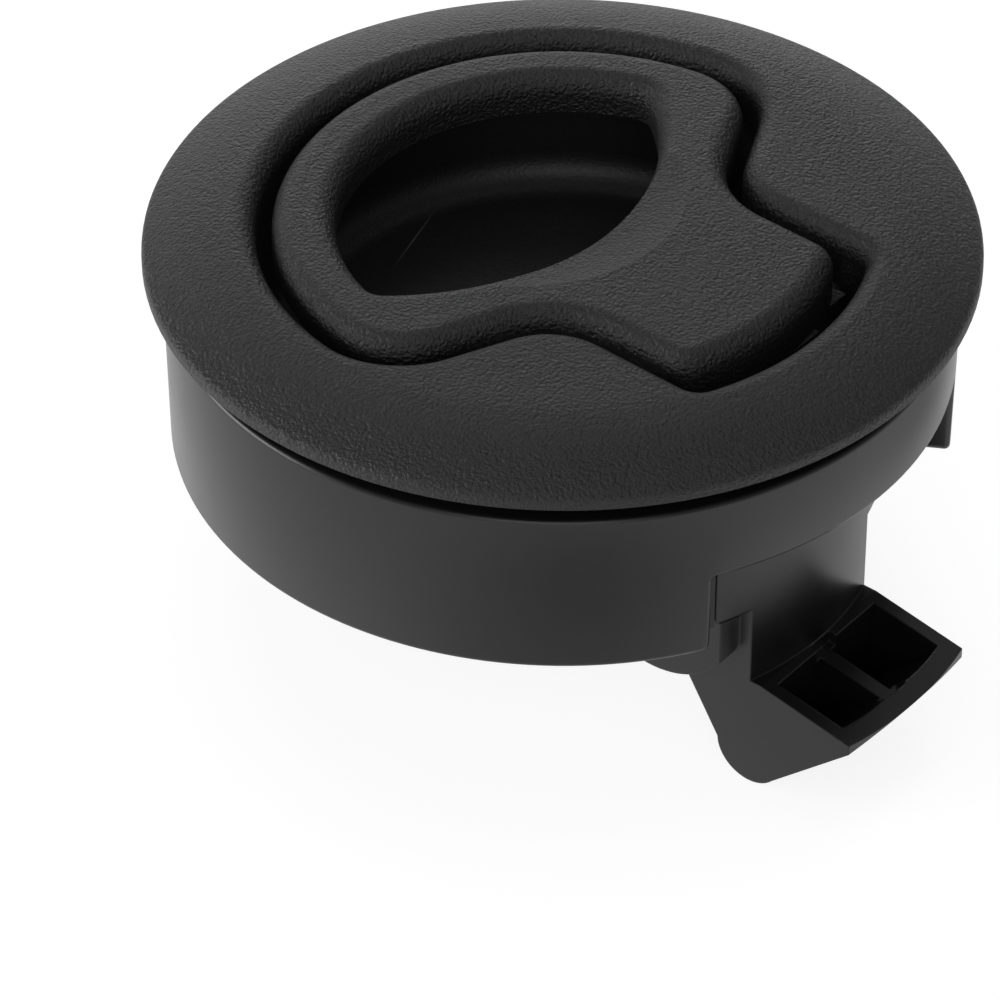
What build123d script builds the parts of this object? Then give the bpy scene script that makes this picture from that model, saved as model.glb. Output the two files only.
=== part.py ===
from build123d import *
import math
import os

# Round flush pull latch for a hatch or locker door, in black glass-filled nylon.
# Origin on the latch axis, on the plane where the bezel sits on the panel.
# +Z points out of the panel, +X points from the finger cup towards the pawl,
# and the hinge pin lies along Y. The latch is symmetric about the XZ plane.
# All lengths are in millimetres.

# Bezel
bezel_radius = 30.5
bezel_crown = 3.5            # height of the crowned top on the axis
bezel_shoulder = 3.05        # height where the crown turns down to the rim
bezel_slope = 7.5            # width of the domed slope outside the crown
bezel_rim_height = 1.3       # height where the slope meets the rounded rim
bezel_rim_roll = 0.8         # width of the rounded rim
bezel_rim_lift = 0.5         # straight part of the rim above the panel
opening_edge_roll = 1.5      # soft edge of the opening in the bezel

# Opening in the bezel: a round head that narrows to a straight-sided neck
head_radius = 22.2
neck_half_width = 10.2
flank_foot_x = 7.8           # where the slanted flank would meet the neck
flank_angle = 64.0           # slope of the flank against X
shoulder_radius = 7.0
throat_radius = 6.0
neck_end_radius = 22.3       # distance of the neck's curved end from the axis
neck_corner_radius = 1.6

# Barrel that passes through the panel, and the walls inside it
barrel_radius = 24.4
barrel_depth = 17.7
well_wall = 1.5
cup_depth = 10.0             # finger cup below the panel face
cup_floor = 1.6
cup_corner_radius = 2.5
cup_wall_x = 4.8             # finger cup side of the wall next to the hinge
cup_wall = 1.5
cup_wall_drop = 3.9          # top edge of that wall below the panel face
pawl_slot_top = 7.9          # top of the slot in the barrel for the pawl

# Pull handle
handle_gap = 1.15            # all round, between handle and opening
handle_end_gap = 2.2         # at the neck's end, where the handle swings out
handle_end_corner = 2.2
handle_proud = 0.15          # crown of the handle above the bezel's crown
handle_drop = 2.4            # underside of the tail's sides below the panel face
ring_lift = 0.3              # underside of the ring above the panel face
handle_outer_roll = 1.6
handle_inner_roll = 1.6
finger_hole_radius = 16.4
finger_hole_front_x = 3.7
finger_hole_front_radius = 19.3
finger_hole_corner = 1.5
scoop_front_x = 8.3          # ridge where the finger scoop begins
scoop_radius = 12.3
scoop_depth = 1.1            # at the edge of the finger hole
tail_skin_drop = 0.7         # underside of the tail's skin below the panel face
tail_lead = 2.0              # hollow of the tail ahead of the hinge lugs
skirt_wall = 1.5
handle_lug = 1.8             # thickness of the hinge lugs

# Hinge
hinge_x = 16.0
hinge_drop = 3.6
pin_radius = 1.5
pin_grip = 0.02              # radial play of the pin in the housing
hinge_play = 0.05            # radial play of the moving parts on the pin
side_play = 0.2              # between neighbours along the pin
handle_lug_radius = 2.9
housing_boss_radius = 2.6
pin_chamfer = 0.3
pin_entry_radius = 1.8       # hole in the barrel through which the pin goes in

# Pawl
pawl_hub_radius = 2.7
pawl_half_width = 7.0
pawl_web = 1.8
pawl_plate_radius = 24.2     # front plate, flush with the barrel
pawl_plate = 1.5
pawl_plate_top = 3.4         # thickness of the front plate along its top
pawl_arm_drop = 2.0          # where the arm leaves the hub, below the pin
pawl_play = 0.3              # between the front plate and its slot
cheek_half_width = 8.6
cheek_top_drop = 1.1         # dark recess between the front plate and the cheeks
cheek_radius = 7.6
cheek_x = 15.2
cheek_drop = 18.4
pawl_back_x = 12.4
nose_root_drop = 24.4
nose_tip_drop = 25.9
nose_tip_radius = 32.9       # curved tip, about the latch axis
ramp_foot_x = 25.4
ramp_foot_drop = 32.9
ramp_foot_width = 5.0        # rounded foot between the ramp and the pawl's back
ramp_foot_back_lift = 1.7    # its back corner above its front corner
ramp_foot_low_x = 2.1        # its lowest point behind its front corner
pawl_bottom_drop = 33.9
pawl_floor = 2.2             # bottom of the space between the webs, above the foot
pawl_floor_ahead = 1.0       # how far that bottom runs ahead of the foot's back corner
pawl_floor_back = 6.6        # its height at the pawl's back
nose_side_wall = 1.1
nose_front_wall = 1.6
nose_rib = 1.2
nose_rib_drop = 1.0
nose_floor = 1.4
nose_back_wall = 0.7         # front plate behind the nose's pockets
cheek_set_back = 0.5         # front of the cheeks behind the front plate's face
catch_bar_x = 17.5           # bar that the handle's lever pushes back
catch_bar_depth = 1.3
catch_bar_top = 9.4
catch_bar_foot = 11.6

# Lever under the handle
lever_half_width = 4.2
lever_depth = 1.1
lever_play = 0.2

# Clamp collar
collar_top_radius = 29.08
collar_foot_radius = 28.9
collar_wall = 2.08
collar_top_drop = 2.2        # thinnest panel that the latch clamps
collar_foot_drop = 15.6
window_half_angle = 30.0
window_top_drop = 8.9
window_corner = 0.8
collar_edge_round = 0.4
collar_guide_play = 0.35     # between barrel and the collar's inner flange
flange_thickness = 1.6
lug_thickness = 2.4
lug_radius = 3.5
lug_play = 0.35

# Collar screws, one each side of the pawl
screw_x = 10.5
screw_y = 17.4
screw_radius = 1.4
screw_hole_play = 0.05
screw_clearance = 0.3
screw_boss_radius = 3.3
screw_boss_foot = 12.8
screw_head_radius = 2.7
screw_head_height = 1.8
screw_tip_lift = 0.2
screw_hole_lift = 0.6
recess_width = 0.8
recess_depth = 0.9
recess_length = 3.2

# Springs
spring_wire_radius = 0.35
spring_radius = 2.5
spring_pitch = 0.78
spring_turns = 4.0
spring_gap = 0.3             # from the middle plane to the first turn
ledge_reach = 2.3            # ledge that holds the springs' fixed legs
ledge_half_width = 4.4
ledge_thickness = 1.5
fixed_leg_length = 8.2
handle_leg_heading = -36.9   # degrees above +X
handle_leg_length = 4.9
pawl_leg_heading = -60.0
pawl_leg_length = 6.3
fine = 0.05                  # gap or overlap too small to see


def disc(radius, x, drop, y_low, y_high):
    """Cylinder along Y, centred at (x, -drop), between two places on Y."""
    plane = Plane(origin=(x, y_low, -drop), x_dir=(1, 0, 0), z_dir=(0, 1, 0))
    return extrude(plane * Circle(radius), y_high - y_low)


def side_plate(points, y_low, y_high):
    """Plate with an outline in X and Z, between two places on Y."""
    plane = Plane(origin=(0, y_low, 0), x_dir=(1, 0, 0), z_dir=(0, -1, 0))
    return extrude(plane * make_face(Polyline(*points, close=True)), y_low - y_high)


def block(x_low, x_high, half_width, z_low, z_high):
    """Box that is centred on the XZ plane."""
    size = (x_high - x_low, 2 * half_width, z_high - z_low)
    centre = ((x_low + x_high) / 2, 0, (z_low + z_high) / 2)
    return Pos(*centre) * Box(*size)


def upright(face, z_low, z_high):
    """Prism of a flat face between two heights."""
    return extrude(Pos(0, 0, z_low) * face, z_high - z_low)


def crown_body(lift):
    """Solid under the crowned top and the domed slope, out to the rounded rim."""
    rim_x = bezel_radius - bezel_rim_roll
    crown_x = rim_x - bezel_slope
    crown = ThreePointArc(
        (0, bezel_crown + lift),
        (crown_x / 2, crown_height(crown_x / 2) + lift),
        (crown_x, bezel_shoulder + lift),
    )
    slope = TangentArc((crown_x, bezel_shoulder + lift), (rim_x, bezel_rim_height + lift), tangent=crown % 1)
    roll = Spline(
        (rim_x, bezel_rim_height + lift),
        (bezel_radius, bezel_rim_lift),
        tangents=[slope % 1, (0, -1)],
    )
    foot = Polyline((bezel_radius, bezel_rim_lift), (bezel_radius, 0), (0, 0), (0, bezel_crown + lift))
    section = Plane.XZ * make_face(crown + slope + roll + foot)
    return revolve(section, Axis.Z)


def opening_face():
    """Outline of the opening in the bezel."""
    far = 2 * head_radius
    lean = (far - neck_half_width) / math.tan(math.radians(flank_angle))
    flanks = Polyline(
        (-far, -far),
        (flank_foot_x - lean, -far),
        (flank_foot_x, -neck_half_width),
        (flank_foot_x, neck_half_width),
        (flank_foot_x - lean, far),
        (-far, far),
        close=True,
    )
    head = Circle(head_radius) & make_face(flanks)
    neck = Pos(neck_end_radius / 2 + 1, 0) * Rectangle(neck_end_radius + 2, 2 * neck_half_width)
    neck = neck & Circle(neck_end_radius)
    outline = head + neck
    shoulders = [v for v in outline.vertices() if abs(v.Y) > neck_half_width + 1]
    outline = fillet(shoulders, shoulder_radius)
    throats = [
        v for v in outline.vertices()
        if abs(abs(v.Y) - neck_half_width) < 0.01 and abs(v.X - flank_foot_x) < 0.01
    ]
    outline = fillet(throats, throat_radius)
    corners = [v for v in outline.vertices() if v.X > hinge_x]
    return fillet(corners, neck_corner_radius)


def handle_face(opening):
    """Outline of the handle: the opening's outline, less the gap."""
    far = 2 * head_radius
    beyond = Pos(flank_foot_x + far / 2, 0) * Rectangle(far, far) - Circle(neck_end_radius - handle_end_gap)
    outline = offset(opening, -handle_gap) - beyond
    corners = [v for v in outline.vertices() if v.X > hinge_x and abs(v.Y) > 1]
    return fillet(corners, handle_end_corner)


def finger_hole_face():
    """Outline of the finger hole: two arcs with rounded corners."""
    front = Pos(finger_hole_front_x - finger_hole_front_radius, 0) * Circle(finger_hole_front_radius)
    outline = Circle(finger_hole_radius) & front
    return fillet(outline.vertices(), finger_hole_corner)


def make_housing(opening):
    """Bezel, barrel, finger cup and hinge walls in one moulding."""
    floor_z = -cup_depth - cup_floor
    shell = crown_body(0) + upright(Circle(barrel_radius), -barrel_depth, 0)
    far = 2 * bezel_radius
    hinge_side = Pos(cup_wall_x + cup_wall + far / 2, 0) * Rectangle(far, far)
    walls = upright(offset(opening, well_wall), floor_z, 0)
    walls += upright(offset(opening, well_wall) & hinge_side, -barrel_depth, 0)
    hollow = upright(Circle(head_radius), -barrel_depth, 0) - walls
    for side in (1, -1):
        hollow -= Pos(screw_x, side * screw_y) * upright(Circle(screw_boss_radius), -screw_boss_foot, 0)
    shell -= hollow

    cup_side = Pos(cup_wall_x - far / 2, 0) * Rectangle(far, far)
    cup = upright(opening & cup_side, -cup_depth, -cup_wall_drop + 1)
    cup = fillet(cup.faces().sort_by(Axis.Z)[0].edges(), cup_corner_radius)
    shell -= cup
    shell -= upright(opening & hinge_side, -barrel_depth, -cup_wall_drop + 1)
    shell -= upright(opening, -cup_wall_drop, 2 * bezel_crown)
    slot = block(hinge_x, barrel_radius + 1, neck_half_width, -barrel_depth, -pawl_slot_top)
    shell -= slot

    top_edges = [e for e in shell.edges() if (e @ 0.5).Z > bezel_rim_height and on_rim(e, opening)]
    shell = fillet(top_edges, opening_edge_roll)

    lug_front = neck_half_width - handle_gap + side_play
    for side in (1, -1):
        inner, outer = sorted((side * lug_front, side * (neck_half_width + 0.1)))
        shell += disc(housing_boss_radius, hinge_x, hinge_drop, inner, outer)
    ledge_z = -hinge_drop - spring_radius + spring_wire_radius + fine
    ledge_x = cup_wall_x + cup_wall
    shell += block(ledge_x - 0.1, ledge_x + ledge_reach, ledge_half_width, ledge_z, ledge_z + ledge_thickness)

    bore_half = neck_half_width + well_wall
    shell -= disc(pin_radius + pin_grip, hinge_x, hinge_drop, -bore_half, bore_half)
    shell -= disc(pin_entry_radius, hinge_x, hinge_drop, bore_half, barrel_radius)
    for side in (1, -1):
        place = Pos(screw_x, side * screw_y)
        shell -= place * upright(Circle(screw_radius + screw_hole_play), -screw_boss_foot, screw_hole_lift)
        shell -= lug_slot(side)
    return shell


def lug_slot(side):
    """Slot in the barrel's wall that a lug of the collar slides in."""
    angle = math.degrees(math.atan2(side * screw_y, screw_x))
    reach = math.hypot(screw_x, screw_y)
    height = barrel_depth - screw_boss_foot
    box = Pos(reach + barrel_radius / 2, 0, -barrel_depth + height / 2) * Box(
        barrel_radius, 2 * (lug_radius + lug_play), height)
    return Rot(0, 0, angle) * box


def make_handle(opening):
    """Crowned pull handle with its finger hole, scoop, lugs and lever."""
    outline = handle_face(opening)
    body = upright(outline, -handle_drop, bezel_crown + handle_proud)
    body &= crown_body(handle_proud) + upright(Circle(bezel_radius), -handle_drop, 0)
    body -= upright(finger_hole_face(), -handle_drop, 2 * bezel_crown)
    for face, roll in ((outline, handle_outer_roll), (finger_hole_face(), handle_inner_roll)):
        high = [e for e in body.edges() if (e @ 0.5).Z > bezel_rim_height]
        body = fillet([e for e in high if on_rim(e, face)], roll)
    ridge = scoop_front_x - scoop_radius
    edge = finger_hole_front_x - ridge
    height = (scoop_radius**2 - edge**2 - scoop_depth**2) / (2 * scoop_depth)
    ridge_z = crown_height(scoop_front_x) + handle_proud
    body -= Pos(ridge, 0, ridge_z + height) * Sphere(math.hypot(scoop_radius, height))

    inner = offset(outline, -skirt_wall)
    tail_x = hinge_x - handle_lug_radius - tail_lead
    ring_side = Pos(tail_x - skirt_wall - bezel_radius, 0) * Rectangle(2 * bezel_radius, 2 * bezel_radius)
    body -= upright(ring_side, -handle_drop, ring_lift)
    tail = Pos(tail_x + neck_end_radius / 2, 0) * Rectangle(neck_end_radius, 4 * neck_half_width)
    body -= upright(inner & tail, -handle_drop, -tail_skin_drop)
    outer_y = neck_half_width - handle_gap
    root = block(hinge_x - handle_lug_radius, hinge_x + handle_lug_radius, handle_lug / 2,
                 -hinge_drop, -tail_skin_drop)
    for side in (1, -1):
        low, high_y = sorted((side * outer_y, side * (outer_y - handle_lug)))
        body += disc(handle_lug_radius, hinge_x, hinge_drop, low, high_y)
        body += Pos(0, (low + high_y) / 2, 0) * root
    hub_half = pawl_half_width + side_play
    body -= disc(pawl_hub_radius + pawl_play, hinge_x, hinge_drop, -hub_half, hub_half)
    body -= disc(pin_radius + hinge_play, hinge_x, hinge_drop, -outer_y, outer_y)
    lever_x = catch_bar_x + catch_bar_depth + lever_play
    body += block(lever_x, lever_x + lever_depth, lever_half_width, -catch_bar_foot, -tail_skin_drop + fine)
    return body


def crown_height(x):
    """Height of the bezel's crown at a distance from the axis."""
    crown_x = bezel_radius - bezel_rim_roll - bezel_slope
    return bezel_crown - (bezel_crown - bezel_shoulder) * (x / crown_x) ** 2


def on_rim(edge, outline):
    """True for an edge that lies on the handle's outline, seen from above."""
    middle = edge @ 0.5
    flat = Vertex(middle.X, middle.Y, 0)
    return min(rim.distance_to(flat) for rim in outline.edges()) < 0.01


def make_pawl():
    """Pawl: hinge webs, curved front plate, cheeks and the open-topped nose."""
    inner_radius = pawl_plate_radius - pawl_plate
    plate_top = -pawl_slot_top - pawl_play
    foot_start = (ramp_foot_x - ramp_foot_width, -ramp_foot_drop + ramp_foot_back_lift)
    foot_low = (ramp_foot_x - ramp_foot_low_x, -pawl_bottom_drop)
    foot_end = (ramp_foot_x, -ramp_foot_drop)
    outline = ThreePointArc(foot_start, foot_low, foot_end) + Polyline(
        foot_end,
        (nose_tip_radius, -nose_tip_drop),
        (pawl_plate_radius, -nose_root_drop),
        (pawl_plate_radius, plate_top),
        (pawl_plate_radius - pawl_plate_top, plate_top),
        (hinge_x + pawl_hub_radius, -hinge_drop - pawl_arm_drop),
        (hinge_x + pawl_hub_radius, -hinge_drop),
        (hinge_x - pawl_hub_radius, -hinge_drop),
        (pawl_back_x, -cheek_drop),
        foot_start,
    )
    side = Plane(origin=(0, pawl_half_width, 0), x_dir=(1, 0, 0), z_dir=(0, -1, 0))
    body = extrude(side * make_face(outline), 2 * pawl_half_width)
    front = block(inner_radius - 2, nose_tip_radius, pawl_half_width + 1, -nose_root_drop, 0)
    body -= front - upright(Circle(pawl_plate_radius), -nose_root_drop, 0)
    body &= upright(Circle(nose_tip_radius), -2 * nose_tip_drop, 0)
    body += disc(pawl_hub_radius, hinge_x, hinge_drop, -pawl_half_width, pawl_half_width)
    body -= pawl_cavity(inner_radius)

    plate = Circle(pawl_plate_radius) - Circle(inner_radius)
    plate &= Pos(hinge_x + pawl_plate_radius / 2, 0) * Rectangle(
        pawl_plate_radius, 2 * (neck_half_width - pawl_play))
    body += upright(plate, -barrel_depth, plate_top)
    for side in (1, -1):
        low, high = sorted((side * pawl_half_width, side * cheek_half_width))
        cheek = disc(cheek_radius, cheek_x, cheek_drop, low, high)
        cheek_top = -barrel_depth - cheek_top_drop
        cheek &= block(pawl_back_x, pawl_plate_radius, cheek_half_width, -2 * cheek_drop, cheek_top)
        body += cheek & upright(Circle(inner_radius + cheek_set_back), -2 * cheek_drop, 0)
        body -= nose_pocket(side)
    for web in (1, -1):
        low, high = sorted((web * (pawl_half_width - pawl_web), web * pawl_half_width))
        body -= disc(pin_radius + hinge_play, hinge_x, hinge_drop, low, high)
    bar_half = pawl_half_width - pawl_web + fine
    body += block(catch_bar_x, catch_bar_x + catch_bar_depth, bar_half, -catch_bar_foot, -catch_bar_top)
    rib_tilt = (nose_root_drop - nose_tip_drop) / (nose_tip_radius - pawl_plate_radius)
    rib_back = (pawl_plate_radius + fine, -nose_root_drop - nose_rib_drop)
    rib_front = (pocket_front(), rib_back[1] + rib_tilt * (pocket_front() - pawl_plate_radius))
    above = 1 - nose_root_drop
    rib_cut = side_plate(
        [(rib_back[0], above), rib_back, rib_front, (rib_front[0], above)], -nose_rib, nose_rib)
    return body - (rib_cut & upright(Circle(pocket_front()), -2 * nose_tip_drop, 0))


def pocket_front():
    """Distance from the latch axis to the front end of the nose's pockets."""
    return nose_tip_radius - nose_front_wall


def pawl_cavity(inner_radius):
    """Space between the pawl's webs, open to the back and to the top."""
    back = pawl_back_x - cheek_radius
    floor_x = ramp_foot_x - ramp_foot_width
    points = [
        (back, 0),
        (nose_tip_radius, 0),
        (nose_tip_radius, -ramp_foot_drop + pawl_floor),
        (floor_x + pawl_floor_ahead, -ramp_foot_drop + pawl_floor),
        (floor_x - pawl_web, -ramp_foot_drop + pawl_floor_back),
        (back, -ramp_foot_drop + pawl_floor_back),
    ]
    half = pawl_half_width - pawl_web
    return side_plate(points, -half, half) & upright(Circle(inner_radius), -ramp_foot_drop, 0)


def nose_pocket(side):
    """Deep pocket in the top of the nose, on one side of its rib."""
    slope = (ramp_foot_drop - nose_tip_drop) / (nose_tip_radius - ramp_foot_x)
    lift = nose_floor * math.hypot(1, slope)
    back = pawl_plate_radius + nose_back_wall
    front = nose_tip_radius
    points = [
        (back, -nose_root_drop + 1),
        (back, -nose_tip_drop - slope * (front - back) + lift),
        (front, -nose_tip_drop + lift),
        (front, -nose_root_drop + 1),
    ]
    low, high = sorted((side * nose_rib / 2, side * (pawl_half_width - nose_side_wall)))
    return side_plate(points, low, high) & upright(Circle(pocket_front()), -2 * nose_tip_drop, 0)


def make_hinge_pin():
    """Steel pin that the handle and the pawl turn on."""
    half = neck_half_width + well_wall
    pin = disc(pin_radius, hinge_x, hinge_drop, -half, half)
    ends = [e for e in pin.edges() if abs(abs(e.center().Y) - half) < 0.01]
    return chamfer(ends, pin_chamfer)


def make_spring(side, heading, leg_length):
    """Torsion spring on the pin: a fixed leg towards the cup and a moving leg.

    The fixed leg leaves the bottom of the coil towards -X. The moving leg leaves
    where its heading, in degrees above +X, is tangent to the coil.
    """
    turns = spring_turns + heading / 360
    height = spring_pitch * turns
    coil = Helix(spring_pitch, height, spring_radius)
    first = coil % 0
    last = coil % 1
    fixed_leg = Line(coil @ 0, (coil @ 0) - first * fixed_leg_length)
    moving_leg = Line(coil @ 1, (coil @ 1) + last * leg_length)
    path = Wire([fixed_leg.edge(), coil.edge(), moving_leg.edge()])
    section = Plane(origin=fixed_leg @ 1, x_dir=(0, 0, 1), z_dir=first) * Circle(spring_wire_radius)
    spring = sweep(section, path=path, is_frenet=True)
    along_pin = Rot(90, 0, 0) * Rot(0, 0, -90) * spring
    start_y = -spring_gap - spring_wire_radius
    if side > 0:
        start_y += 2 * (spring_gap + spring_wire_radius) + height
    return Pos(hinge_x, start_y, -hinge_drop) * along_pin


def make_collar():
    """Clamp collar: tapered ring with a window for the pawl, flange and two lugs."""
    inner_radius = collar_top_radius - collar_wall
    section = make_face(Polyline(
        (inner_radius, -collar_top_drop),
        (collar_top_radius, -collar_top_drop),
        (collar_foot_radius, -collar_foot_drop),
        (inner_radius, -collar_foot_drop),
        close=True,
    ))
    ring = revolve(Plane.XZ * section, Axis.Z)
    rims = [e for e in ring.edges() if e.geom_type == GeomType.CIRCLE and e.radius > inner_radius + 1]
    ring = fillet(rims, collar_edge_round)
    flange = Circle(inner_radius + fine) - Circle(barrel_radius + collar_guide_play)
    ring += upright(flange, -collar_foot_drop, -collar_foot_drop + flange_thickness)

    reach = 2 * collar_top_radius
    angle = math.radians(window_half_angle)
    corners = [(reach * math.cos(angle), y * reach * math.sin(angle)) for y in (-1, 1)]
    wedge = make_face(Polyline((0, 0), *corners, close=True))
    ring -= upright(wedge, -collar_foot_drop - 1, -window_top_drop)
    radial = [
        e for e in ring.edges()
        if e.geom_type == GeomType.LINE and abs((e % 0).Z) < 0.01
        and e.length > collar_wall - 1 and (e @ 0).X > 0
    ]
    jambs = [e for e in radial if abs((e @ 0).Z + window_top_drop) < 0.01]
    ring = fillet(jambs, window_corner)

    lug_top = -screw_boss_foot - side_play
    for side in (1, -1):
        turn = math.degrees(math.atan2(side * screw_y, screw_x))
        middle = math.hypot(screw_x, screw_y)
        arm = Rot(0, 0, turn) * Pos((middle + inner_radius) / 2, 0) * Rectangle(
            inner_radius - middle, 2 * lug_radius)
        lug = (arm + Pos(screw_x, side * screw_y) * Circle(lug_radius)) & Circle(inner_radius + fine)
        hole = Pos(screw_x, side * screw_y) * Circle(screw_radius + screw_clearance)
        ring += upright(lug - hole, lug_top - lug_thickness, lug_top)
    return ring


def make_screw(side):
    """Pan-head screw that draws the collar up against the panel."""
    seat = -screw_boss_foot - side_play - lug_thickness
    head = upright(Circle(screw_head_radius), seat - screw_head_height, seat)
    head = fillet(head.faces().sort_by(Axis.Z)[0].edges(), screw_head_height / 3)
    cross = Rectangle(recess_length, recess_width) + Rectangle(recess_width, recess_length)
    head -= upright(cross, seat - screw_head_height, seat - screw_head_height + recess_depth)
    shank = upright(Circle(screw_radius), seat, screw_tip_lift)
    return Pos(screw_x, side * screw_y, 0) * (head + shank)


def main():
    """Build every piece and write one file for each."""
    opening = opening_face()
    pieces = {
        "housing": make_housing(opening),
        "pull_handle": make_handle(opening),
        "pawl": make_pawl(),
        "hinge_pin": make_hinge_pin(),
        "handle_spring": make_spring(-1, handle_leg_heading, handle_leg_length),
        "pawl_spring": make_spring(1, pawl_leg_heading, pawl_leg_length),
        "clamp_collar": make_collar(),
        "collar_screw_left": make_screw(1),
        "collar_screw_right": make_screw(-1),
    }
    os.makedirs("parts", exist_ok=True)
    for name, piece in pieces.items():
        export_step(piece, f"parts/{name}.step")


main()
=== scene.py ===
import math
import bmesh
import bpy
from mathutils import Matrix, Vector


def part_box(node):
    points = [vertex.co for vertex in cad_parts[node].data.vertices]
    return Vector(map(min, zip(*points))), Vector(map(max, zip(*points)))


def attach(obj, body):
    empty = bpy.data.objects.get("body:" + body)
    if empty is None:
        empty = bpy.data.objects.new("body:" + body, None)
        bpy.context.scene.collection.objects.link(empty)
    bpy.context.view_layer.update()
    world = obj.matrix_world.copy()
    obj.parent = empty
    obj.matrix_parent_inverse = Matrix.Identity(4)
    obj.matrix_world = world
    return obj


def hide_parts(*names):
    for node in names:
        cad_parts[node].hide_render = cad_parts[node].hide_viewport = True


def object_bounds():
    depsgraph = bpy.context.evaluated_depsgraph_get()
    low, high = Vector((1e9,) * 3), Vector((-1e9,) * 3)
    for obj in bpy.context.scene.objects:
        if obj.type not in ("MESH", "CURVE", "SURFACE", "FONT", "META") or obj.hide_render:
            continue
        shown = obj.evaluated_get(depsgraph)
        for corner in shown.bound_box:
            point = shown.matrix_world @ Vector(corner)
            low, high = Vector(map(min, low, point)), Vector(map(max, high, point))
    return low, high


# A round flush pull latch for a hatch or a locker door: a bezel with a finger cup,
# a pull handle, a spring pawl and a clamp collar. Lengths are in metres. The origin
# is on the latch axis, where the bezel sits on the panel, and +X points to the pawl.
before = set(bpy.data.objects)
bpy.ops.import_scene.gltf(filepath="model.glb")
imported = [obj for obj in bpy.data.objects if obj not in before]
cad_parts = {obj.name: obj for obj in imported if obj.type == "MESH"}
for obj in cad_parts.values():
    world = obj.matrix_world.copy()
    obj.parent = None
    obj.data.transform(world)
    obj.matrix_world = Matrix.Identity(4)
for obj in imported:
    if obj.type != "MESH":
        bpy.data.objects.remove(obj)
cad_low, cad_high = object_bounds()


# Camera: a long lens from the pawl's side, about 39 degrees above the bezel, so that
# the round bezel shows as an ellipse and the side of the barrel stays upright.
view_azimuth = math.radians(39.0)
view_elevation = math.radians(39.0)
view_distance = 0.427
focal_width = 5.886                # focal length over the width of the picture
aim_right = 0.00452                # the latch axis lies this far right of the middle
aim_up = 0.01845                   # and this far above it

right = Vector((math.cos(view_azimuth), math.sin(view_azimuth), 0))
towards_camera = Vector((
    math.sin(view_azimuth) * math.cos(view_elevation),
    -math.cos(view_azimuth) * math.cos(view_elevation),
    math.sin(view_elevation),
))
up = towards_camera.cross(right)
eye = towards_camera * view_distance - right * aim_right - up * aim_up

lens = bpy.data.cameras.new("camera")
lens.sensor_fit = "HORIZONTAL"
lens.sensor_width = 36.0
lens.lens = focal_width * lens.sensor_width
lens.clip_start = 0.01
lens.clip_end = 20.0
camera = bpy.data.objects.new("camera", lens)
camera.matrix_world = Matrix((
    (right.x, up.x, towards_camera.x, eye.x),
    (right.y, up.y, towards_camera.y, eye.y),
    (right.z, up.z, towards_camera.z, eye.z),
    (0, 0, 0, 1),
))
bpy.context.scene.collection.objects.link(camera)
bpy.context.scene.camera = camera
bpy.context.scene.view_settings.view_transform = "Standard"


# Studio: a white paper sweep under the latch and a white room round it. The paper
# shows white to the camera and to glossy rays, and keeps the latch's soft shadow.
# For glossy rays its glow is dimmed in two spots, a painted shadow that the collar mirrors.
room_light = 0.23
paper_shade = 0.80
paper_glow = 1.50
glow_seen = 0.56                   # share of the paper that glows for the camera
glow_mirrored = 0.45               # and for glossy reflections
painted_mirror_shadows = [                   # x, y and radius of the painted shadows, where the glow that the collar mirrors is dimmed
    (0.042, -0.044, 0.045),
    (0.039, 0.047, 0.028),
]
paper_width = 6.0
paper_gap = 0.2e-3                 # the latch hangs this far above the paper


def add_node(material, kind, settings=None, **links):
    """Add a node, set its values by attribute or socket name, and link its inputs."""
    tree = material.node_tree
    node = tree.nodes.new(kind)
    sockets = {s.name.replace(" ", "_"): s for s in reversed(node.inputs)}
    sockets.update({s.identifier: s for s in node.inputs})
    for name, value in (settings or {}).items():
        if name in sockets:
            sockets[name].default_value = value
        else:
            setattr(node, name, value)
    for name, source in links.items():
        tree.links.new(source, sockets[name])
    return node


def linear(hex_colour):
    """Turn an sRGB hex colour into the linear colour that a shader takes."""
    values = [int(hex_colour[i:i + 2], 16) / 255 for i in (0, 2, 4)]
    return [v / 12.92 if v <= 0.04045 else ((v + 0.055) / 1.055) ** 2.4 for v in values] + [1.0]


world = bpy.data.worlds.new("white_room")
world.use_nodes = True
world.node_tree.nodes.clear()
rays = add_node(world, "ShaderNodeLightPath")
seen = add_node(world, "ShaderNodeBackground", {"Color": linear("ffffff"), "Strength": 1.0})
lit = add_node(world, "ShaderNodeBackground", {"Color": linear("fafbfc"), "Strength": room_light})
either = add_node(world, "ShaderNodeMixShader", None,
                  Fac=rays.outputs["Is Camera Ray"], Shader=lit.outputs[0], Shader_001=seen.outputs[0])
add_node(world, "ShaderNodeOutputWorld", None, Surface=either.outputs[0])
bpy.context.scene.world = world

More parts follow.
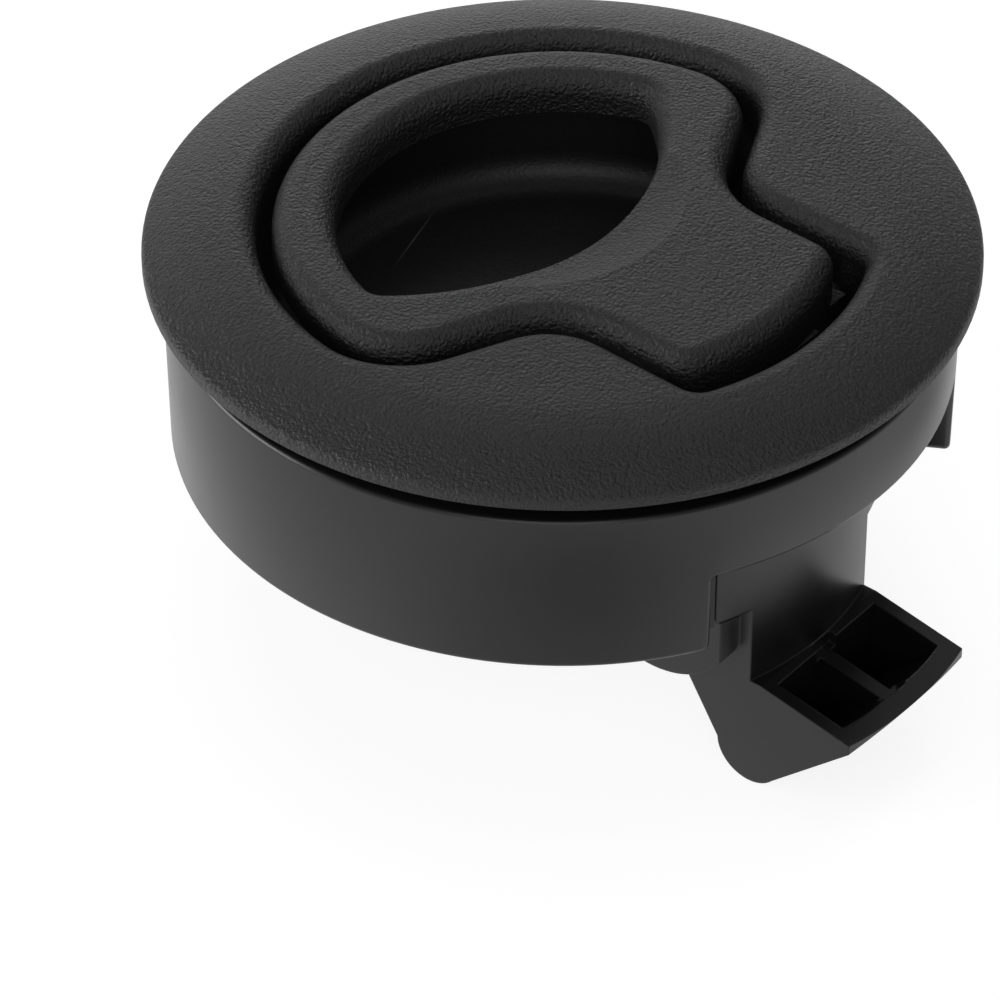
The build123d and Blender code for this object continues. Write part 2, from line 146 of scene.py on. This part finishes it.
paper = bpy.data.materials.new("white_paper")
paper.use_nodes = True
paper.node_tree.nodes.clear()
rays = add_node(paper, "ShaderNodeLightPath")
sheet = add_node(paper, "ShaderNodeBsdfDiffuse", {"Color": [paper_shade] * 3 + [1.0], "Roughness": 0.5})
glow = add_node(paper, "ShaderNodeEmission", {"Color": linear("ffffff"), "Strength": paper_glow})
mirrored = add_node(paper, "ShaderNodeMath", {"operation": "MULTIPLY", "Value_001": glow_mirrored},
                    Value=rays.outputs["Is Glossy Ray"])
place = add_node(paper, "ShaderNodeTexCoord")
# Painted shadow: the glow that glossy rays see is dimmed, most at the middle of each spot.
for shade_x, shade_y, radius in painted_mirror_shadows:
    near = add_node(paper, "ShaderNodeMapping",
                    {"vector_type": "TEXTURE", "Location": (shade_x, shade_y, 0), "Scale": [radius] * 3},
                    Vector=place.outputs["Object"])
    shade = add_node(paper, "ShaderNodeTexGradient", {"gradient_type": "SPHERICAL"}, Vector=near.outputs[0])
    unshaded = add_node(paper, "ShaderNodeMath", {"operation": "SUBTRACT", "Value": 1.0},
                        Value_001=shade.outputs["Fac"])
    mirrored = add_node(paper, "ShaderNodeMath", {"operation": "MULTIPLY"},
                        Value=mirrored.outputs[0], Value_001=unshaded.outputs[0])
share = add_node(paper, "ShaderNodeMath", {"operation": "MULTIPLY_ADD", "Value_001": glow_seen},
                 Value=rays.outputs["Is Camera Ray"], Value_002=mirrored.outputs[0])
both = add_node(paper, "ShaderNodeMixShader", None,
                Fac=share.outputs[0], Shader=sheet.outputs[0], Shader_001=glow.outputs[0])
add_node(paper, "ShaderNodeOutputMaterial", None, Surface=both.outputs[0])

bpy.ops.object.select_all(action="DESELECT")
bpy.ops.mesh.primitive_plane_add(size=paper_width, location=(0, 0, cad_low[2] - paper_gap))
floor = bpy.context.active_object
floor.name = "paper_floor"
floor.data.materials.append(paper)


# Lamps: four rectangular soft boxes round the latch. The low strip on the left draws the
# bright end of the collar, and the low one behind lights the far slope of the bezel.
lamp_distance = 0.9


def add_soft_box(name, width, height, radiance, azimuth, elevation):
    """Hang a rectangular soft box round the latch, at angles from the camera's right."""
    turn = math.radians(azimuth)
    rise = math.radians(elevation)
    forward = Vector((-towards_camera.x, -towards_camera.y, 0)).normalized()
    level = math.cos(turn) * right + math.sin(turn) * forward
    place = lamp_distance * (math.cos(rise) * level + math.sin(rise) * Vector((0, 0, 1)))
    light = bpy.data.lights.new(name, "AREA")
    light.shape = "RECTANGLE"
    light.size = width
    light.size_y = height
    light.energy = radiance * math.pi * width * height
    box = bpy.data.objects.new(name, light)
    box.location = place
    box.rotation_euler = (-place).to_track_quat("-Z", "Y").to_euler()
    bpy.context.scene.collection.objects.link(box)


add_soft_box("left_strip", width=0.7, height=0.35, radiance=6.2, azimuth=178, elevation=8)
add_soft_box("back_strip", width=0.7, height=0.35, radiance=1.85, azimuth=95, elevation=8)
add_soft_box("overhead_box", width=0.7, height=0.7, radiance=1.1, azimuth=90, elevation=80)
add_soft_box("front_box", width=0.6, height=0.5, radiance=1.6, azimuth=265, elevation=30)


# Housing and pull handle: two injection mouldings in black glass-filled nylon. Their
# moulds are spark-eroded, which leaves a fine even grain with no gloss on the top, and
# plainer down inside the finger cup.
grain_width = 0.28e-3
grain_height = 0.22e-3
crater_share = 0.35                # how much of the grain is sharp-edged craters
cloud_width = 11.1e-3              # slow change of shade across the moulding
plain_depth = -2.5e-3              # the grain fades out down to here, inside the cup
plain_grain = 0.15                 # what is left of it there
painted_glint_middle = (-17.6e-3, 4.3e-3, -10.0e-3)    # a painted highlight, a light grey hairline on the floor of the cup
painted_glint_heading = math.radians(106)
painted_glint_length = 9.0e-3
painted_glint_width = 0.16e-3

nylon = bpy.data.materials.new("grained_glass_filled_nylon")
nylon.use_nodes = True
nylon.node_tree.nodes.clear()
place = add_node(nylon, "ShaderNodeTexCoord")
grain = add_node(nylon, "ShaderNodeTexNoise", {"Scale": 1 / grain_width, "Detail": 2.0, "Roughness": 0.6},
                 Vector=place.outputs["Object"])
cloud = add_node(nylon, "ShaderNodeTexNoise", {"Scale": 1 / cloud_width, "Detail": 3.0},
                 Vector=place.outputs["Object"])
tone = add_node(nylon, "ShaderNodeValToRGB", None, Fac=cloud.outputs["Fac"])
tone.color_ramp.elements[0].color = linear("151516")
tone.color_ramp.elements[1].color = linear("1b1b1c")
craters = add_node(nylon, "ShaderNodeTexVoronoi", {"Scale": 1 / grain_width},
                   Vector=place.outputs["Object"])
relief = add_node(nylon, "ShaderNodeMath", {"operation": "MULTIPLY_ADD", "Value_001": -crater_share},
                  Value=craters.outputs["Distance"], Value_002=grain.outputs["Fac"])
matt = add_node(nylon, "ShaderNodeMapRange", {"To_Min": 0.36, "To_Max": 0.60}, Value=grain.outputs["Fac"])
depth = add_node(nylon, "ShaderNodeSeparateXYZ", None, Vector=place.outputs["Object"])
grained = add_node(nylon, "ShaderNodeMapRange",
                   {"From_Min": plain_depth, "From_Max": 0.0, "To_Min": plain_grain, "To_Max": 1.0},
                   Value=depth.outputs["Z"])
bump = add_node(nylon, "ShaderNodeBump", {"Distance": grain_height},
                Strength=grained.outputs[0], Height=relief.outputs[0])
# Painted highlight: a thin light grey line is mixed into the base colour on the floor of the cup.
along = add_node(nylon, "ShaderNodeMapping",
                 {"vector_type": "TEXTURE", "Location": painted_glint_middle, "Rotation": (0, 0, painted_glint_heading),
                  "Scale": (painted_glint_length / 2, painted_glint_width / 2, painted_glint_length / 2)},
                 Vector=place.outputs["Object"])
painted_glint = add_node(nylon, "ShaderNodeTexGradient", {"gradient_type": "SPHERICAL"}, Vector=along.outputs[0])
tone_with_glint = add_node(nylon, "ShaderNodeMixRGB", {"Color2": linear("6e6e70")},
                Fac=painted_glint.outputs["Fac"], Color1=tone.outputs[0])
surface = add_node(nylon, "ShaderNodeBsdfPrincipled", {"IOR": 1.53},
                   Base_Color=tone_with_glint.outputs["Color"], Roughness=matt.outputs[0], Normal=bump.outputs[0])
add_node(nylon, "ShaderNodeOutputMaterial", None, Surface=surface.outputs[0])

for name in ("housing", "pull_handle"):
    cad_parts[name].data.materials.clear()
    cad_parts[name].data.materials.append(nylon)


# Pawl and clamp collar: the same black nylon from a plain polished mould, so both
# have a smooth satin skin with faint flow marks and a soft bright line on each edge.
edge_round = 0.20e-3
flow_mark_width = 3.85e-3

satin = bpy.data.materials.new("smooth_glass_filled_nylon")
satin.use_nodes = True
satin.node_tree.nodes.clear()
place = add_node(satin, "ShaderNodeTexCoord")
flow = add_node(satin, "ShaderNodeTexNoise", {"Scale": 1 / flow_mark_width, "Detail": 4.0},
                Vector=place.outputs["Object"])
tone = add_node(satin, "ShaderNodeValToRGB", None, Fac=flow.outputs["Fac"])
tone.color_ramp.elements[0].color = linear("121213")
tone.color_ramp.elements[1].color = linear("18181a")
sheen = add_node(satin, "ShaderNodeMapRange", {"To_Min": 0.25, "To_Max": 0.33}, Value=flow.outputs["Fac"])
edges = add_node(satin, "ShaderNodeBevel", {"samples": 4, "Radius": edge_round})
surface = add_node(satin, "ShaderNodeBsdfPrincipled", {"IOR": 1.53},
                   Base_Color=tone.outputs[0], Roughness=sheen.outputs[0], Normal=edges.outputs[0])
add_node(satin, "ShaderNodeOutputMaterial", None, Surface=surface.outputs[0])

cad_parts["pawl"].data.materials.clear()
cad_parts["pawl"].data.materials.append(satin)


# Clamp collar: a slightly tapered ring that is drawn up behind the panel. It has a
# window for the pawl, a guide flange at its foot, and two lugs that the screws pull on.
collar_low, collar_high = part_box("clamp_collar")
collar_top_z = collar_high[2]
collar_foot_z = collar_low[2]
collar_top_radius = -collar_low[0]
collar_taper = 0.18e-3
collar_wall = 2.08e-3
collar_foot_radius = collar_top_radius - collar_taper
collar_bore_radius = collar_top_radius - collar_wall
flange_radius = 24.75e-3
flange_thickness = 1.6e-3
flange_top_z = collar_foot_z + flange_thickness
window_top_z = -8.9e-3
window_half_angle = 30.0           # degrees either side of the pawl
window_head_round = 0.4e-3
window_foot_round = 0.6e-3
rim_round = 0.4e-3
ring_steps = 180
same_height = 1e-5                 # points closer than this count as level
same_azimuth = 0.01                # and these many degrees apart as in line
rim_corner = math.radians(50)      # corners sharper than this get the rim's round
crisp_edge = math.radians(35)      # edges sharper than this stay crisp
window_share = (collar_top_z - window_top_z) / (collar_top_z - collar_foot_z)
window_radius = collar_top_radius + (collar_foot_radius - collar_top_radius) * window_share
ring_section = [
    (collar_top_radius, collar_top_z),
    (window_radius, window_top_z),
    (collar_foot_radius, collar_foot_z),
    (flange_radius, collar_foot_z),
    (flange_radius, flange_top_z),
    (collar_bore_radius, flange_top_z),
    (collar_bore_radius, window_top_z),
    (collar_bore_radius, collar_top_z),
    (collar_top_radius, collar_top_z),
]


def select_where(kind, test):
    """In edit mode, select only the faces or edges that pass a test."""
    mesh = bmesh.from_edit_mesh(bpy.context.active_object.data)
    bpy.ops.mesh.select_all(action="DESELECT")
    for item in getattr(mesh, kind):
        if test(item):
            item.select_set(True)
    bmesh.update_edit_mesh(bpy.context.active_object.data)


def azimuth_of(point):
    """Angle of a point round the latch axis, in degrees from the pawl's side."""
    return math.degrees(math.atan2(point.y, point.x))


bpy.ops.object.select_all(action="DESELECT")
bpy.ops.mesh.primitive_circle_add(vertices=ring_steps, radius=ring_section[0][0], location=(0, 0, 0))
collar = bpy.context.active_object
collar.name = "collar_moulding"
bpy.ops.object.mode_set(mode="EDIT")
bpy.ops.mesh.select_all(action="SELECT")
bpy.ops.transform.translate(value=(0, 0, ring_section[0][1]))
for (radius, height), (next_radius, next_height) in zip(ring_section, ring_section[1:]):
    bpy.ops.mesh.extrude_region_move(TRANSFORM_OT_translate={"value": (0, 0, next_height - height)})
    bpy.ops.transform.resize(value=(next_radius / radius, next_radius / radius, 1))
bpy.ops.mesh.select_all(action="SELECT")
bpy.ops.mesh.remove_doubles(threshold=1e-6)

select_where("faces", lambda face: abs(azimuth_of(face.calc_center_median())) < window_half_angle
             and face.calc_center_median().z < window_top_z - same_height)
bpy.ops.mesh.delete(type="FACE")
select_where("edges", lambda edge: edge.is_boundary
             and all(abs(v.co.z - window_top_z) < same_height for v in edge.verts))
bpy.ops.mesh.bridge_edge_loops()
for side in (1, -1):
    select_where("edges", lambda edge: edge.is_boundary and edge.verts[0].co.y * side > 0)
    bpy.ops.mesh.edge_face_add()
bpy.ops.mesh.select_all(action="SELECT")
bpy.ops.mesh.normals_make_consistent(inside=False)


def is_jamb_corner(edge, height):
    """True for the radial edges of the window's two jambs at a height."""
    ends = [v.co for v in edge.verts]
    level = all(abs(end.z - height) < same_height for end in ends)
    return level and all(abs(abs(azimuth_of(end)) - window_half_angle) < same_azimuth for end in ends)


def is_outer_rim(edge):
    """True for the edges round the collar's outside, where a face meets the outer wall."""
    outside = all(math.hypot(v.co.x, v.co.y) > collar_foot_radius - 2 * same_height for v in edge.verts)
    return outside and len(edge.link_faces) == 2 and edge.calc_face_angle() > rim_corner


for height, corner_round in ((window_top_z, window_head_round), (collar_foot_z, window_foot_round)):
    select_where("edges", lambda edge: is_jamb_corner(edge, height))
    bpy.ops.mesh.bevel(offset=corner_round, segments=6, affect="EDGES")
select_where("edges", is_outer_rim)
bpy.ops.mesh.bevel(offset=rim_round, segments=4, affect="EDGES")
bpy.ops.object.mode_set(mode="OBJECT")

lug_x = 10.5e-3
lug_y = 17.4e-3
lug_radius = 3.5e-3
lug_hole_radius = 1.7e-3
lug_thickness = 2.4e-3
lug_middle_z = -14.2e-3
arm_length = 4.6e-3                # the arm's round end is buried in the flange and the ring
for side in (1, -1):
    lug_middle = Vector((lug_x, side * lug_y, 0))
    outward = lug_middle.normalized()
    bpy.ops.object.select_all(action="DESELECT")
    bpy.ops.mesh.primitive_cylinder_add(vertices=64, radius=lug_radius, depth=lug_thickness,
                                        location=(lug_x, side * lug_y, lug_middle_z))
    lug = bpy.context.active_object
    bpy.ops.object.transform_apply(location=True, rotation=True, scale=True)
    bpy.ops.object.mode_set(mode="EDIT")
    select_where("faces", lambda face: abs(face.normal.z) > 0.9)
    bpy.ops.mesh.inset(thickness=lug_radius - lug_hole_radius, use_individual=True)
    bpy.ops.mesh.bridge_edge_loops()
    select_where("faces", lambda face: face.normal.dot(outward) > 0.02
                 and (face.calc_center_median() - lug_middle).dot(outward) > 0)
    bpy.ops.mesh.extrude_region_move(TRANSFORM_OT_translate={"value": outward * arm_length})
    bpy.ops.mesh.select_all(action="SELECT")
    bpy.ops.mesh.normals_make_consistent(inside=False)
    bpy.ops.object.mode_set(mode="OBJECT")
    union = collar.modifiers.new("lug", "BOOLEAN")
    union.operation = "UNION"
    union.solver = "EXACT"
    union.object = lug
    bpy.ops.object.select_all(action="DESELECT")
    collar.select_set(True)
    bpy.context.view_layer.objects.active = collar
    bpy.ops.object.modifier_apply(modifier=union.name)
    bpy.data.objects.remove(lug)

bpy.ops.object.shade_smooth_by_angle(angle=crisp_edge)
collar.data.materials.clear()
collar.data.materials.append(satin)
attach(collar, "collar")
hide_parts("clamp_collar")


# Hinge pin, springs and collar screws: stainless steel, which shows as a clean grey
# shine. The pin and the screws are turned, and the springs are wound from drawn wire.
tool_mark_width = 1.11e-3          # drawn coarser than the real tool marks, so that it shows

steel = bpy.data.materials.new("turned_stainless_steel")
steel.use_nodes = True
steel.node_tree.nodes.clear()
place = add_node(steel, "ShaderNodeTexCoord")
marks = add_node(steel, "ShaderNodeTexNoise", {"Scale": 1 / tool_mark_width, "Detail": 2.0},
                 Vector=place.outputs["Object"])
sheen = add_node(steel, "ShaderNodeMapRange", {"To_Min": 0.22, "To_Max": 0.38}, Value=marks.outputs["Fac"])
surface = add_node(steel, "ShaderNodeBsdfPrincipled", {"Base_Color": linear("c9c7c2"), "Metallic": 1.0},
                   Roughness=sheen.outputs[0])
add_node(steel, "ShaderNodeOutputMaterial", None, Surface=surface.outputs[0])

for name in ("hinge_pin", "handle_spring", "pawl_spring", "collar_screw_left", "collar_screw_right"):
    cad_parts[name].data.materials.clear()
    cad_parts[name].data.materials.append(steel)
